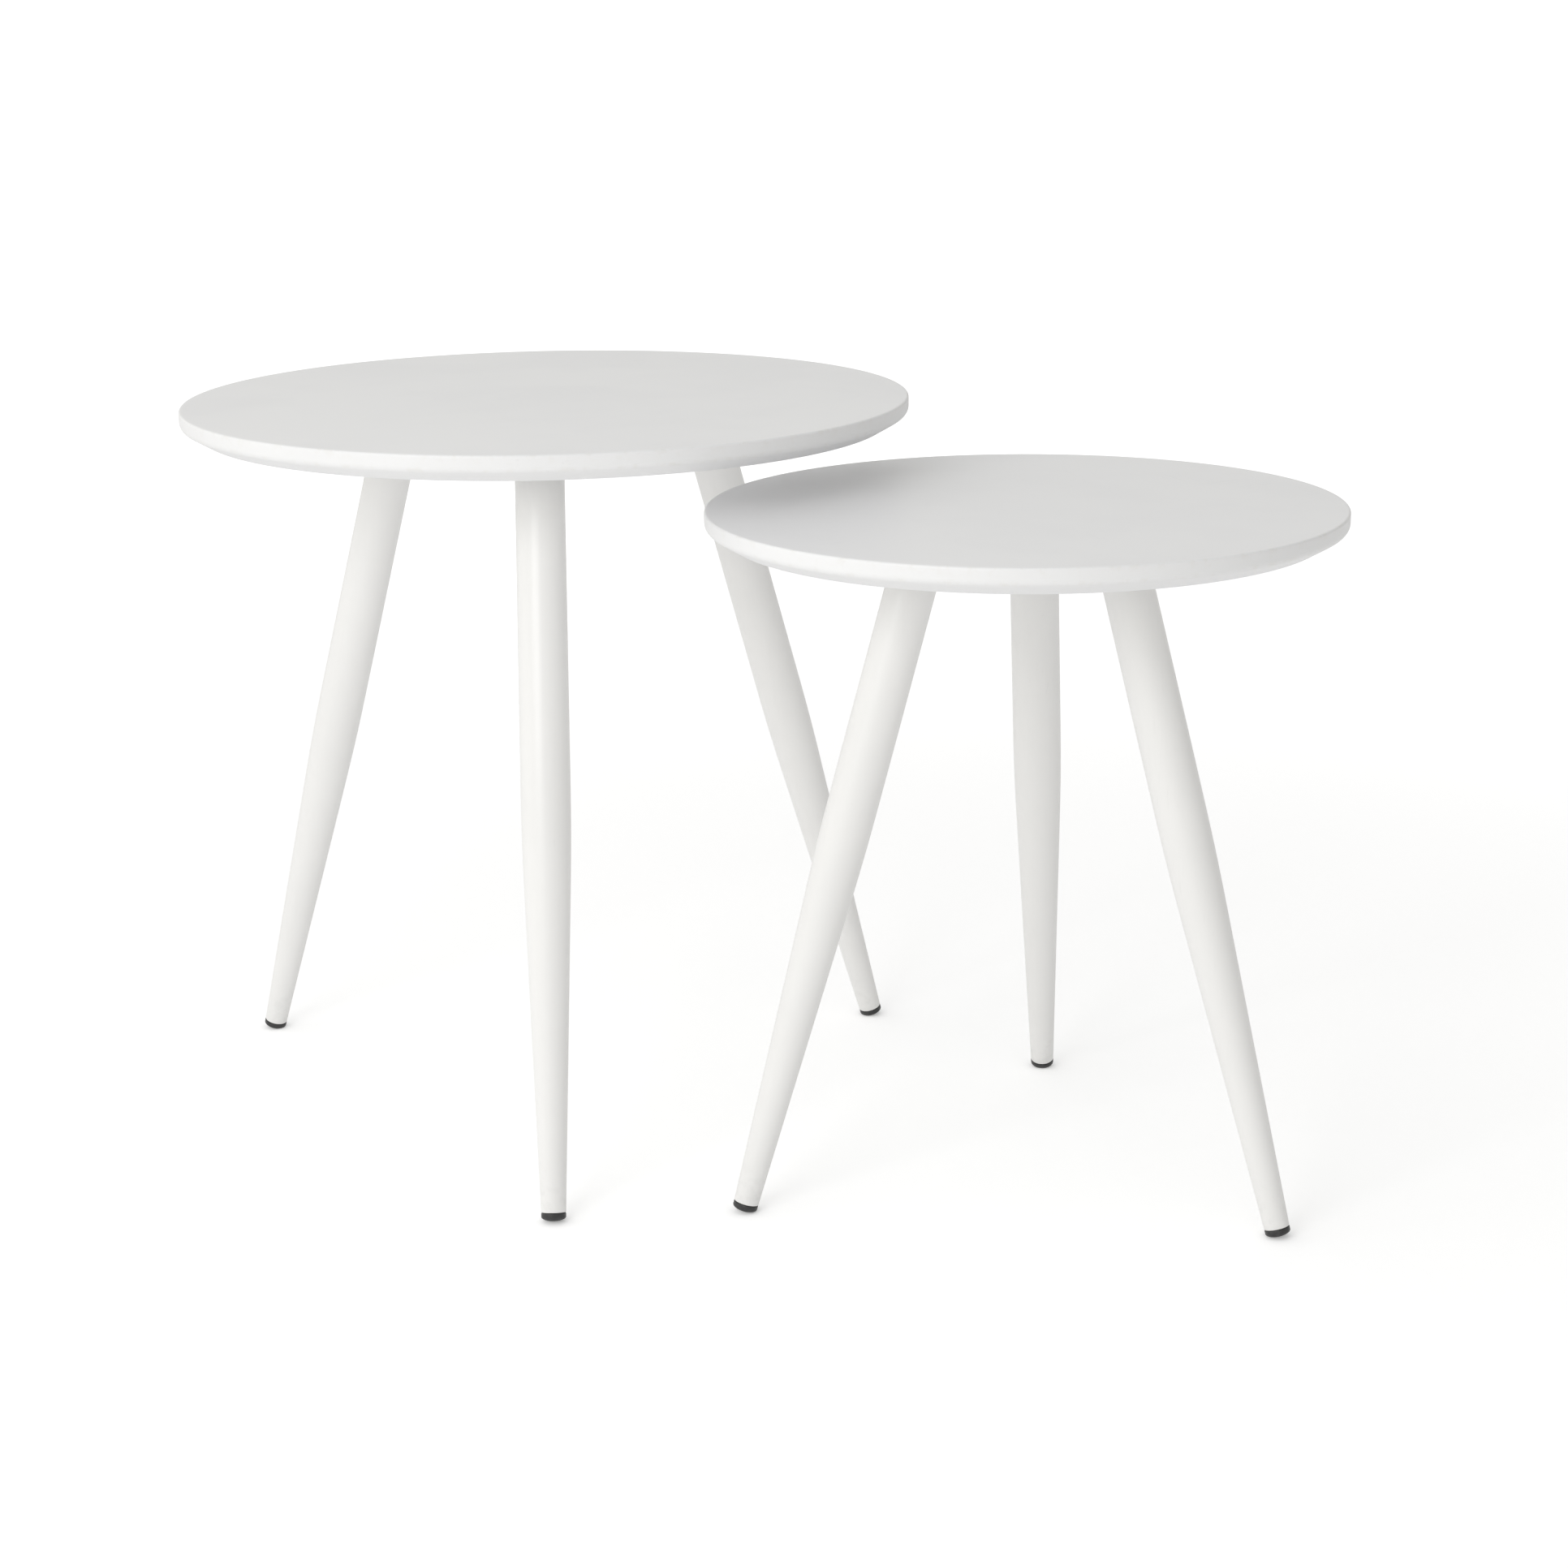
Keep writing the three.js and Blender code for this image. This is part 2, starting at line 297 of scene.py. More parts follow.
def threaded_mesh(name, radius, depth, pitch, low, high, tips, segments=24):
    """A threaded rod between two heights. `tips` are the lengths over which its ends narrow."""
    blunt = 0.25  # share of the radius that is left at a tip
    rows_per_turn = 8
    count = int((high - low) / pitch * rows_per_turn)
    rings = []
    for row in range(count + 1):
        height = low + (high - low) * row / count
        narrow = min(1, (height - low) / max(tips[0], 1e-9), (high - height) / max(tips[1], 1e-9))
        ring = []
        for i in range(segments):
            phase = (height / pitch - i / segments) % 1
            crest = abs(2 * phase - 1)
            reach = (radius - depth * crest) * (blunt + (1 - blunt) * narrow)
            angle = 2 * math.pi * i / segments
            ring.append((reach * math.cos(angle), reach * math.sin(angle), height))
        rings.append(ring)
    return smoothed(bridged_mesh(name, rings), sharp_degrees=50)


def finish_piece(name, mesh, table, material, nodes):
    """Puts a finished mesh in the scene, on its table's body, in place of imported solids."""
    mesh.name = name
    mesh.materials.clear()
    mesh.materials.append(material)
    piece = add_object(name, mesh)
    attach(piece, f"{table}_table")
    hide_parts(*nodes)


def finish_leg_piece(line, part, mesh, material):
    name = f"{line.table}_{line.leg}_{part}"
    finish_piece(name, mesh, line.table, material, [line.node(part)])


# ---- Node trees ----


def made_once(kind, name):
    """Makes named data on the first call. Later calls find it by its name."""

    def wrap(maker):
        @functools.wraps(maker)
        def find_or_make(*settings):
            return getattr(bpy.data, kind).get(name) or maker(name, *settings)

        return find_or_make

    return wrap


def feed(tree, socket, value):
    """Links an input to a socket, or sets it to a plain value."""
    if isinstance(value, bpy.types.NodeSocket):
        tree.links.new(value, socket)
    else:
        socket.default_value = value


def feed_named(tree, node, **inputs):
    """Feeds a node's inputs by name, with _ in place of a space."""
    for label, value in inputs.items():
        feed(tree, node.inputs[label.replace("_", " ")], value)


def add_node(tree, kind, inputs=None, **settings):
    """A node with its settings and its inputs. An input is a value, or a socket to link from."""
    node = tree.nodes.new(kind)
    for key, value in settings.items():
        setattr(node, key, value)
    for key, value in (inputs or {}).items():
        feed(tree, node.inputs[key], value)
    return node


def math_node(tree, operation, *values):
    node = add_node(tree, "ShaderNodeMath", dict(enumerate(values)), operation=operation)
    return node.outputs[0]


def noise(tree, vector, scale, detail, roughness=0.5, distortion=0.0):
    inputs = {
        "Vector": vector,
        "Scale": scale,
        "Detail": detail,
        "Roughness": roughness,
        "Distortion": distortion,
    }
    return add_node(tree, "ShaderNodeTexNoise", inputs).outputs[0]


def smooth_step(tree, value, low, high, start=0.0, end=1.0):
    """Goes smoothly from start to end while the value goes from low to high."""
    inputs = {"Value": value, "From Min": low, "From Max": high, "To Min": start, "To Max": end}
    node = add_node(tree, "ShaderNodeMapRange", inputs, interpolation_type="SMOOTHSTEP")
    return node.outputs[0]


def height_of(tree, vector):
    return add_node(tree, "ShaderNodeSeparateXYZ", {"Vector": vector}).outputs["Z"]


def new_group(name, kind, inputs, outputs):
    """An empty node group with its named sockets, and its input and output nodes."""
    tree = bpy.data.node_groups.new(name, kind)
    for label, socket, default in inputs:
        made = tree.interface.new_socket(label, in_out="INPUT", socket_type=socket)
        if default is not None:
            made.default_value = default
    for label, socket in outputs:
        tree.interface.new_socket(label, in_out="OUTPUT", socket_type=socket)
    return tree, tree.nodes.new("NodeGroupInput").outputs, tree.nodes.new("NodeGroupOutput").inputs


def new_shader_group(name, outputs, **inputs):
    """A shader group that takes a vector, numbers and triples of numbers, and gives numbers."""
    sockets = [("Vector", "NodeSocketVector", None)]
    for label, default in inputs.items():
        socket = "NodeSocketVector" if isinstance(default, tuple) else "NodeSocketFloat"
        sockets.append((label.replace("_", " "), socket, default))
    return new_group(
        name, "ShaderNodeTree", sockets, [(label, "NodeSocketFloat") for label in outputs]
    )


def set_modifier_input(modifier, label, value):
    for item in modifier.node_group.interface.items_tree:
        if item.name == label and getattr(item, "in_out", "") == "INPUT":
            modifier[item.identifier] = value
            return
    raise KeyError(label)


def grower_for(name, base, tree, inputs):
    """A passing object whose shape a geometry tree makes from a base mesh."""
    grower = add_object(name, base)
    modifier = grower.modifiers.new("tree", "NODES")
    modifier.node_group = tree
    for label, value in inputs.items():
        set_modifier_input(modifier, label, value)
    return grower


def close_geometry(tree, geometry, given, result):
    """Ends a geometry tree: real faces with the given material."""
    real = add_node(tree, "GeometryNodeRealizeInstances", {"Geometry": geometry}).outputs[0]
    inputs = {"Geometry": real, "Material": given["Material"]}
    coated = add_node(tree, "GeometryNodeSetMaterial", inputs)
    tree.links.new(coated.outputs[0], result["Geometry"])
    return tree


@made_once("node_groups", "tapering_tube")
def tube_tree(name):
    """Geometry tree of a leg's skin: a sweep down -Z that runs straight and then tapers."""
    tree, given, result = new_group(
        name,
        "GeometryNodeTree",
        [
            ("Geometry", "NodeSocketGeometry", None),
            ("Head", "NodeSocketFloat", 0.01),
            ("Foot", "NodeSocketFloat", 0.48),
            ("Head Radius", "NodeSocketFloat", 0.016),
            ("Foot Radius", "NodeSocketFloat", 0.008),
            ("Taper Length", "NodeSocketFloat", 0.24),
            ("Softening", "NodeSocketFloat", 0.0015),
            ("Segments", "NodeSocketInt", 64),
            ("Rings", "NodeSocketInt", 96),
            ("Material", "NodeSocketMaterial", None),
        ],
        [("Geometry", "NodeSocketGeometry")],
    )
    ends = {}
    for end, distance in (("Start", "Head"), ("End", "Foot")):
        height = math_node(tree, "MULTIPLY", given[distance], -1.0)
        ends[end] = add_node(tree, "ShaderNodeCombineXYZ", {"Z": height}).outputs[0]
    line = add_node(tree, "GeometryNodeCurvePrimitiveLine", ends)
    even = add_node(
        tree, "GeometryNodeResampleCurve", {"Curve": line.outputs[0], "Count": given["Rings"]}
    )
    height = height_of(tree, add_node(tree, "GeometryNodeInputPosition").outputs[0])
    from_foot = math_node(tree, "ADD", height, given["Foot"])
    share = math_node(tree, "DIVIDE", from_foot, given["Taper Length"])
    growth = math_node(tree, "SUBTRACT", given["Head Radius"], given["Foot Radius"])
    cone = math_node(tree, "MULTIPLY_ADD", share, growth, given["Foot Radius"])
    radius = math_node(tree, "SMOOTH_MIN", cone, given["Head Radius"], given["Softening"])
    sized = add_node(
        tree, "GeometryNodeSetCurveRadius", {"Curve": even.outputs[0], "Radius": radius}
    )
    ring = add_node(
        tree, "GeometryNodeCurvePrimitiveCircle", {"Resolution": given["Segments"], "Radius": 1.0}
    )
    sweep_inputs = {
        "Curve": sized.outputs[0],
        "Profile Curve": ring.outputs[0],
        "Scale": add_node(tree, "GeometryNodeInputRadius").outputs[0],
    }
    sweep = add_node(tree, "GeometryNodeCurveToMesh", sweep_inputs)
    return close_geometry(tree, sweep.outputs[0], given, result)


@made_once("node_groups", "screws_on_points")
def screw_tree(name):
    """Geometry tree that stands a copy of one screw on every point, each turned its own way."""
    tree, given, result = new_group(
        name,
        "GeometryNodeTree",
        [
            ("Geometry", "NodeSocketGeometry", None),
            ("Screw", "NodeSocketObject", None),
            ("Seed", "NodeSocketInt", 4),
            ("Material", "NodeSocketMaterial", None),
        ],
        [("Geometry", "NodeSocketGeometry")],
    )
    screw = add_node(tree, "GeometryNodeObjectInfo", {"Object": given["Screw"]})
    angle = add_node(tree, "FunctionNodeRandomValue", {"Seed": given["Seed"]}, data_type="FLOAT")
    angle.inputs[3].default_value = 2 * math.pi
    turn = add_node(tree, "ShaderNodeCombineXYZ", {"Z": angle.outputs[1]})
    copies = add_node(
        tree,
        "GeometryNodeInstanceOnPoints",
        {
            "Points": given["Geometry"],
            "Instance": screw.outputs["Geometry"],
            "Rotation": turn.outputs[0],
        },
    )
    return close_geometry(tree, copies.outputs[0], given, result)


# ---- Shared surface effects ----


@made_once("node_groups", "sprayed_coat")
def coat_group(name):
    """The faint ripple of a sprayed coat, and the cloudy smudges that handling leaves on it."""
    tree, given, result = new_shader_group(
        name, ["Height", "Smudge"], Ripple_Scale=900.0, Smudge_Scale=9.0
    )
    ripple = noise(tree, given["Vector"], given["Ripple Scale"], 2.0)
    smudge = noise(tree, given["Vector"], given["Smudge Scale"], 3.0, distortion=0.2)
    tree.links.new(ripple, result["Height"])
    tree.links.new(smooth_step(tree, smudge, 0.38, 0.68), result["Smudge"])
    return tree


@made_once("node_groups", "streaks")
def streak_group(name):
    """Fine straight marks in patches, as a mask. They run along Y once the pattern is turned."""
    tree, given, result = new_shader_group(
        name, ["Mask"], Turn=(0.0, 0.0, 0.0), Stretch=(900.0, 14.0, 900.0), Cover=0.2
    )
    turned = add_node(
        tree,
        "ShaderNodeVectorRotate",
        {"Vector": given["Vector"], "Rotation": given["Turn"]},
        rotation_type="EULER_XYZ",
    )
    drawn = add_node(
        tree,
        "ShaderNodeVectorMath",
        {0: turned.outputs[0], 1: given["Stretch"]},
        operation="MULTIPLY",
    )
    lines = noise(tree, drawn.outputs[0], 1.0, 1.0)
    thin = add_node(tree, "ShaderNodeMapRange", {"Value": lines, "From Min": 0.66, "From Max": 0.74})
    patch = noise(tree, given["Vector"], 17.0, 2.0)
    edge = math_node(tree, "SUBTRACT", 0.75, given["Cover"])
    beyond = math_node(tree, "SUBTRACT", patch, edge)
    shown = math_node(tree, "MULTIPLY", beyond, 7.0)
    shown.node.use_clamp = True
    tree.links.new(math_node(tree, "MULTIPLY", shown, thin.outputs[0]), result["Mask"])
    return tree


@made_once("node_groups", "specks")
def speck_group(name):
    """Sparse pinhead specks, as a mask: what dust leaves in a sprayed coat."""
    tree, given, result = new_shader_group(name, ["Mask"], Scale=60.0, Size=0.03, Share=0.25)
    cells = add_node(
        tree, "ShaderNodeTexVoronoi", {"Vector": given["Vector"], "Scale": given["Scale"]}
    )
    pick = add_node(tree, "ShaderNodeSeparateColor", {"Color": cells.outputs["Color"]})
    chosen = math_node(tree, "LESS_THAN", pick.outputs[0], given["Share"])
    fill = math_node(tree, "DIVIDE", cells.outputs["Distance"], given["Size"])
    round_dot = math_node(tree, "SUBTRACT", 1.0, fill)
    round_dot.node.use_clamp = True
    tree.links.new(math_node(tree, "MULTIPLY", chosen, round_dot), result["Mask"])
    return tree


@made_once("node_groups", "floor_fade")
def floor_fade_group(name):
    """Mask that is full at the floor and gone at Reach above it."""
    tree, given, result = new_shader_group(name, ["Mask"], Reach=0.03)
    share = math_node(tree, "DIVIDE", height_of(tree, given["Vector"]), given["Reach"])
    fade = math_node(tree, "SUBTRACT", 1.0, share)
    fade.node.use_clamp = True
    tree.links.new(math_node(tree, "POWER", fade, 1.5), result["Mask"])
    return tree


@made_once("node_groups", "rubbed_patches")
def rub_group(name):
    """Small uneven patches, as a mask: where a coat has been rubbed."""
    tree, given, result = new_shader_group(name, ["Mask"], Scale=140.0)
    patches = noise(tree, given["Vector"], given["Scale"], 3.0, roughness=0.6)
    tree.links.new(smooth_step(tree, patches, 0.48, 0.68), result["Mask"])
    return tree


# ---- Materials ----


def new_material(name):
    """A material with its tree, its shader and its object coordinates."""
    made = bpy.data.materials.new(name)
    made.use_nodes = True
    tree = made.node_tree
    shader = tree.nodes["Principled BSDF"]
    place = add_node(tree, "ShaderNodeTexCoord").outputs["Object"]
    return made, tree, shader, place


def place_group(tree, group, **inputs):
    node = tree.nodes.new("ShaderNodeGroup")
    node.node_tree = group
    feed_named(tree, node, **inputs)
    return node.outputs


def mixed(tree, factor, first, second):
    """Colour that goes from the first to the second with the factor."""
    node = tree.nodes.new("ShaderNodeMix")
    node.data_type = "RGBA"
    for i, value in ((0, factor), (6, first), (7, second)):
        feed(tree, node.inputs[i], value)
    return node.outputs[2]


def layered(tree, colour, layers):
    """Colour under layers, each a mask, the mask's strength and the layer's own colour."""
    for mask, strength, over in layers:
        colour = mixed(tree, math_node(tree, "MULTIPLY", mask, strength), colour, over)
    return colour


def dimmed(colour, share):
    return (*(channel * share for channel in colour[:3]), 1.0)


def between(tree, value, low, high):
    """Value from 0 to 1, stretched between two others."""
    return math_node(tree, "MULTIPLY_ADD", value, high - low, low)


def bumped(tree, shader, height, distance, strength):
    inputs = {"Height": height, "Distance": distance, "Strength": strength}
    feed_named(tree, shader, Normal=add_node(tree, "ShaderNodeBump", inputs).outputs[0])


@made_once("materials", "board_lacquer")
def board_lacquer(name, colour):
    """Satin white lacquer on fibreboard: a soft ripple, hairline scratches, and rubbed edges."""
    made, tree, shader, place = new_material(name)
    coat = place_group(tree, coat_group(), Vector=place, Ripple_Scale=420.0, Smudge_Scale=9.0)
    one_way = place_group(
        tree, streak_group(), Vector=place, Turn=(0, 0, 0.6), Stretch=(700, 9, 700), Cover=0.2
    )
    other_way = place_group(
        tree, streak_group(), Vector=place, Turn=(0, 0, 2.3), Stretch=(800, 13, 800), Cover=0.17
    )
    scratches = math_node(tree, "MAXIMUM", one_way["Mask"], other_way["Mask"])
    specks = place_group(tree, speck_group(), Vector=place, Scale=55.0, Size=0.02, Share=0.3)["Mask"]
    edge = add_node(tree, "ShaderNodeAttribute", attribute_name=WEAR).outputs["Fac"]
    rub = math_node(tree, "MULTIPLY", edge, place_group(tree, rub_group(), Vector=place)["Mask"])
    warm = (colour[0] * 0.9, colour[1] * 0.88, colour[2] * 0.83, 1.0)
    cloudy = mixed(tree, coat["Smudge"], dimmed(colour, 1.0), dimmed(colour, 0.985))
    layers = [
        (scratches, 0.35, dimmed(colour, 0.88)),
        (specks, 0.6, dimmed(colour, 0.82)),
        (rub, 0.45, warm),
    ]
    gloss = between(tree, coat["Smudge"], 0.37, 0.42)
    scuffed = math_node(tree, "MULTIPLY_ADD", scratches, 0.08, gloss)
    feed_named(
        tree,
        shader,
        Base_Color=layered(tree, cloudy, layers),
        Roughness=math_node(tree, "MULTIPLY_ADD", rub, -0.08, scuffed),
        Specular_IOR_Level=0.45,
    )
    height = math_node(tree, "MULTIPLY_ADD", scratches, -0.4, coat["Height"])
    bumped(tree, shader, height, 0.00005, 0.3)
    return made


@made_once("materials", "leg_powder_coat")
def leg_powder_coat(name, colour):
    """Warm white powder coat on steel: a fine peel, and rubbed patches near the floor."""
    made, tree, shader, place = new_material(name)
    coat = place_group(tree, coat_group(), Vector=place, Ripple_Scale=750.0, Smudge_Scale=16.0)
    floor_rub = place_group(tree, floor_fade_group(), Vector=place, Reach=0.05)["Mask"]
    patches = place_group(tree, rub_group(), Vector=place)["Mask"]
    rub = math_node(tree, "MULTIPLY", floor_rub, patches)
    scratches = place_group(
        tree, streak_group(), Vector=place, Turn=(1.57, 0, 0), Stretch=(600, 20, 600), Cover=0.2
    )["Mask"]
    specks = place_group(tree, speck_group(), Vector=place, Scale=70.0, Size=0.02, Share=0.25)["Mask"]
    cloudy = mixed(tree, coat["Smudge"], dimmed(colour, 1.0), dimmed(colour, 0.985))
    layers = [
        (scratches, 0.25, dimmed(colour, 0.86)),
        (specks, 0.6, dimmed(colour, 0.78)),
        (rub, 0.3, dimmed(colour, 0.75)),
    ]
    gloss = between(tree, coat["Smudge"], 0.285, 0.33)
    feed_named(
        tree,
        shader,
        Base_Color=layered(tree, cloudy, layers),
        Roughness=math_node(tree, "MULTIPLY_ADD", rub, 0.2, gloss),
    )
    bumped(tree, shader, coat["Height"], 0.00003, 0.2)
    return made


@made_once("materials", "glide_plastic")
def glide_plastic(name, colour):
    """Moulded charcoal plastic, greyed and roughened where it slides on the floor."""
    made, tree, shader, place = new_material(name)
    rub = place_group(tree, floor_fade_group(), Vector=place, Reach=0.0025)["Mask"]
    marks = place_group(tree, rub_group(), Vector=place, Scale=420.0)["Mask"]
    grain = noise(tree, place, 2600.0, 2.0)
    worn = math_node(tree, "MAXIMUM", rub, math_node(tree, "MULTIPLY", marks, 0.15))
    grey = mixed(tree, worn, dimmed(colour, 1.0), (0.13, 0.13, 0.125, 1.0))
    feed_named(tree, shader, Base_Color=grey, Roughness=between(tree, worn, 0.38, 0.72))
    bumped(tree, shader, grain, 0.00004, 0.5)
    return made


@made_once("materials", "zinc_plate")
def zinc_plate(name, colour):
    """Bright zinc on pressed steel: cloudy spangle, with drawing marks and dull patches."""
    made, tree, shader, place = new_material(name)
    spangle = add_node(tree, "ShaderNodeTexVoronoi", {"Vector": place, "Scale": 260.0}, feature="F1")
    tone = add_node(tree, "ShaderNodeSeparateColor", {"Color": spangle.outputs["Color"]}).outputs[0]
    coat = place_group(tree, coat_group(), Vector=place, Ripple_Scale=2200.0, Smudge_Scale=60.0)
    drawn = place_group(
        tree, streak_group(), Vector=place, Turn=(0, 0, 0.9), Stretch=(2600, 60, 2600), Cover=0.35
    )["Mask"]
    flecked = mixed(tree, tone, dimmed(colour, 0.93), dimmed(colour, 1.04))
    layers = [(drawn, 0.4, dimmed(colour, 0.8)), (coat["Smudge"], 0.4, dimmed(colour, 0.82))]
    feed_named(
        tree,
        shader,
        Base_Color=layered(tree, flecked, layers),
        Roughness=between(tree, coat["Smudge"], 0.29, 0.42),
        Metallic=1.0,
    )
    bumped(tree, shader, coat["Height"], 0.00003, 0.25)
    return made


# ---- Sizes and colours that a user would change ----


def a_length(name, description, default):
    return FloatProperty(name=name, description=description, unit="LENGTH", default=default)


def an_angle(name, description, degrees):
    default = math.radians(degrees)
    return FloatProperty(name=name, description=description, subtype="ANGLE", default=default)


def a_colour(name, description, default):
    return FloatVectorProperty(name=name, description=description, subtype="COLOR", default=default)


class BoardSettings(bpy.types.PropertyGroup):
    """The boards."""

    colour: a_colour("Colour", "Lacquer on the boards", (0.865, 0.865, 0.872))
    edge_rounding: a_length("Edge rounding", "Radius of the upper edge", 0.0015)
    bevel_height: a_length("Bevel height", "Height of the bevel underneath", 0.008)
    bevel_depth: a_length("Bevel depth", "Depth of the bevel underneath", 0.014)
    bevel_rounding: a_length("Bevel rounding", "Radius between rim and bevel", 0.005)
    segments: IntProperty(name="Segments", description="Segments round a board", default=256)


class LegSettings(bpy.types.PropertyGroup):
    """The leg tubes and the fittings inside them."""

    colour: a_colour("Colour", "Powder coat on the legs", (0.872, 0.866, 0.858))
    taper_length: a_length("Taper length", "Length of the tapered part", 0.24)
    softening: a_length("Softening", "Difference in radius blended at the taper", 0.0015)
    rim_rounding: a_length("Rim rounding", "Rounding of the tube's cut ends", 0.00045)
    thread_pitch: a_length("Thread pitch", "Pitch of the stud's thread", 0.00125)
    thread_depth: a_length("Thread depth", "Depth of the stud's thread", 0.0006)


class GlideSettings(bpy.types.PropertyGroup):
    """The plastic glides."""

    colour: a_colour("Colour", "Plastic of the glides", (0.03, 0.03, 0.031))
    rim: a_length("Rim", "Height of the straight part", 0.0025)
    dome: a_length("Dome", "Height of the dome", 0.003)
    spigot: a_length("Spigot", "Length inside the tube", 0.012)
    ribs: IntProperty(name="Ribs", description="Gripping ribs round the spigot", default=4)


class FittingSettings(bpy.types.PropertyGroup):
    """The mounting plates and the screws."""

    colour: a_colour("Colour", "Zinc plate", (0.66, 0.67, 0.68))
    plate_thickness: a_length("Plate thickness", "Sheet of the plates", 0.002)
    plate_corner: a_length("Plate corner", "Corner radius of the plates", 0.008)
    seat_lip: a_length("Seat lip", "Seat beyond the leg", 0.004)
    head_radius: a_length("Head radius", "Radius of a screw's head", 0.004)
    head_height: a_length("Head height", "Height of a screw's head", 0.0026)
    thread_pitch: a_length("Thread pitch", "Pitch of a screw's thread", 0.0017)


class StageSettings(bpy.types.PropertyGroup):
    """The floor, the lights and the camera."""

    floor_colour: a_colour("Floor", "Colour of the floor", (0.9, 0.9, 0.9))
    floor_glow: FloatProperty(
        name="Floor glow", description="Light that the floor adds to the tables", default=0.1
    )
    floor_seen: FloatProperty(
        name="Floor seen", description="Brightness added to the floor as it is seen", default=0.29
    )
    key_power: FloatProperty(
        name="Key light", description="Power of the soft main light", unit="POWER", default=8.1
    )
    key_side: an_angle("Key side", "Side that the main light comes from, counter-clockwise from -Y", 0)
    key_height: an_angle("Key height", "Angle of the main light above the floor", 26)
    key_distance: a_length("Key distance", "From the nest to the main light", 2.0)
    key_width: a_length("Key width", "Width of the main light", 1.0)
    key_tall: a_length("Key tall", "Height of the main light", 0.75)
    sky: FloatProperty(name="Sky", description="Light from all round", default=0.755)
    horizon: a_colour("Horizon", "Tint of the light near the floor", (1, 0.985, 0.88))
    sky_lean: FloatVectorProperty(
        name="Sky lean",
        description="How the light from all round grows towards one side",
        subtype="XYZ",
        default=(-0.30, -0.16, -0.02),
    )
    camera_place: FloatVectorProperty(
        name="Camera",
        description="Place of the camera",
        subtype="TRANSLATION",
        default=(1.0522, -1.8017, 0.7985),
    )
    camera_turn: an_angle("Turn", "Camera's turn to the left of +Y", 29.453)
    camera_tilt: an_angle("Tilt", "Camera's tilt downwards", 15.084)
    camera_roll: an_angle("Roll", "Camera's roll", 0.751)
    camera_lens: FloatProperty(
        name="Lens", description="Focal length in millimetres", default=73.48
    )


# ---- Pieces ----


def board_mesh(board, settings):
    """A board with a rounded upper edge and a softened bevel, its underside at height 0."""
    face_ring = board.radius - 2 * settings.edge_rounding
    under = board.radius - settings.bevel_depth
    outline = rounded(
        [
            (0, 0, 0),
            (under * 0.96, 0, 0),
            (under, 0, BOARD_UNDER_EDGE),
            (board.radius, settings.bevel_height, settings.bevel_rounding),
            (board.radius, board.thickness, settings.edge_rounding),
            (face_ring, board.thickness, 0),
            (0, board.thickness, 0),
        ],
        steps=8,
    )
    mesh = turned_mesh("board", outline, settings.segments)
    edges = [(board.radius, settings.bevel_height), (board.radius, board.thickness)]
    wear = mesh.attributes.new(WEAR, "FLOAT", "POINT")
    for vertex, value in zip(mesh.vertices, wear.data):
        spot = Vector((vertex.co.xy.length, vertex.co.z))
        nearest = min((spot - Vector(edge)).length for edge in edges)
        value.value = max(0.0, 1.0 - nearest / BOARD_WEAR_REACH)
    return mesh


def tube_mesh(line, settings, material):
    """A leg's tube along -Z, hollow, with its cut ends softened."""
    grower = grower_for(
        "tube",
        bpy.data.meshes.new("empty"),
        tube_tree(),
        {
            "Head": line.head,
            "Foot": line.foot,
            "Head Radius": line.head_radius,
            "Foot Radius": line.foot_radius,
            "Taper Length": settings.taper_length,
            "Softening": settings.softening,
            "Material": material,
        },
    )
    tube = thickened(grower, line.wall, settings.rim_rounding, segments=3, degrees=50)
    return smoothed(tube, sharp_degrees=60)


def insert_mesh(line, stud_radius, length):
    """The steel ring in the head of a tube, with its edges broken."""
    outer = line.head_radius - line.wall - GAP
    inner, top, bottom = stud_radius + GAP, -line.head, -line.head - length
    sides = ((inner, bottom), (outer, bottom), (outer, top), (inner, top))
    corners = [(x, y, BROKEN_EDGE) for x, y in sides]
    return turned_mesh("insert", rounded(corners, steps=3), segments=48, ring=True)


def glide_mesh(line, settings):
    """A glide: ribbed spigot in the tube, straight rim, and a low rounded dome."""
    radius = line.foot_radius
    top = -line.foot - GAP
    spigot = radius - line.wall - 2 * GAP
    steps = 20
    angles = [math.pi / 2 * i / steps for i in range(steps)]
    corners = [
        (radius * math.sin(a), top - settings.rim - settings.dome * math.cos(a), 0) for a in angles
    ]
    corners.append((radius, top - settings.rim, 0))
    corners.append((radius, top, GLIDE_RIM_EDGE))
    corners.append((spigot, top, 0))
    for i in range(settings.ribs):
        at = top + settings.spigot * (i + 0.6) / settings.ribs
        corners.append((spigot, at - RIB_RAMP, 0))
        corners.append((spigot + GAP * 0.8, at, 0))
        corners.append((spigot, at + RIB_BACK, 0))
    corners.append((spigot, top + settings.spigot, BROKEN_EDGE))
    corners.append((0, top + settings.spigot, 0))
    return turned_mesh("glide", rounded(corners), segments=64)


def cut_flat(mesh, height=0.0):
    """Cuts a mesh off level at a height, where it meets the floor."""
    bm = bmesh.new()
    bm.from_mesh(mesh)
    everything = bm.verts[:] + bm.edges[:] + bm.faces[:]
    cut = bmesh.ops.bisect_plane(
        bm, geom=everything, plane_co=(0, 0, height), plane_no=(0, 0, -1), clear_outer=True
    )
    edges = [e for e in cut["geom_cut"] if isinstance(e, bmesh.types.BMEdge)]
    bmesh.ops.edgeloop_fill(bm, edges=edges)
    bmesh.ops.recalc_face_normals(bm, faces=bm.faces)
    bm.to_mesh(mesh)
    bm.free()
    return smoothed(mesh)


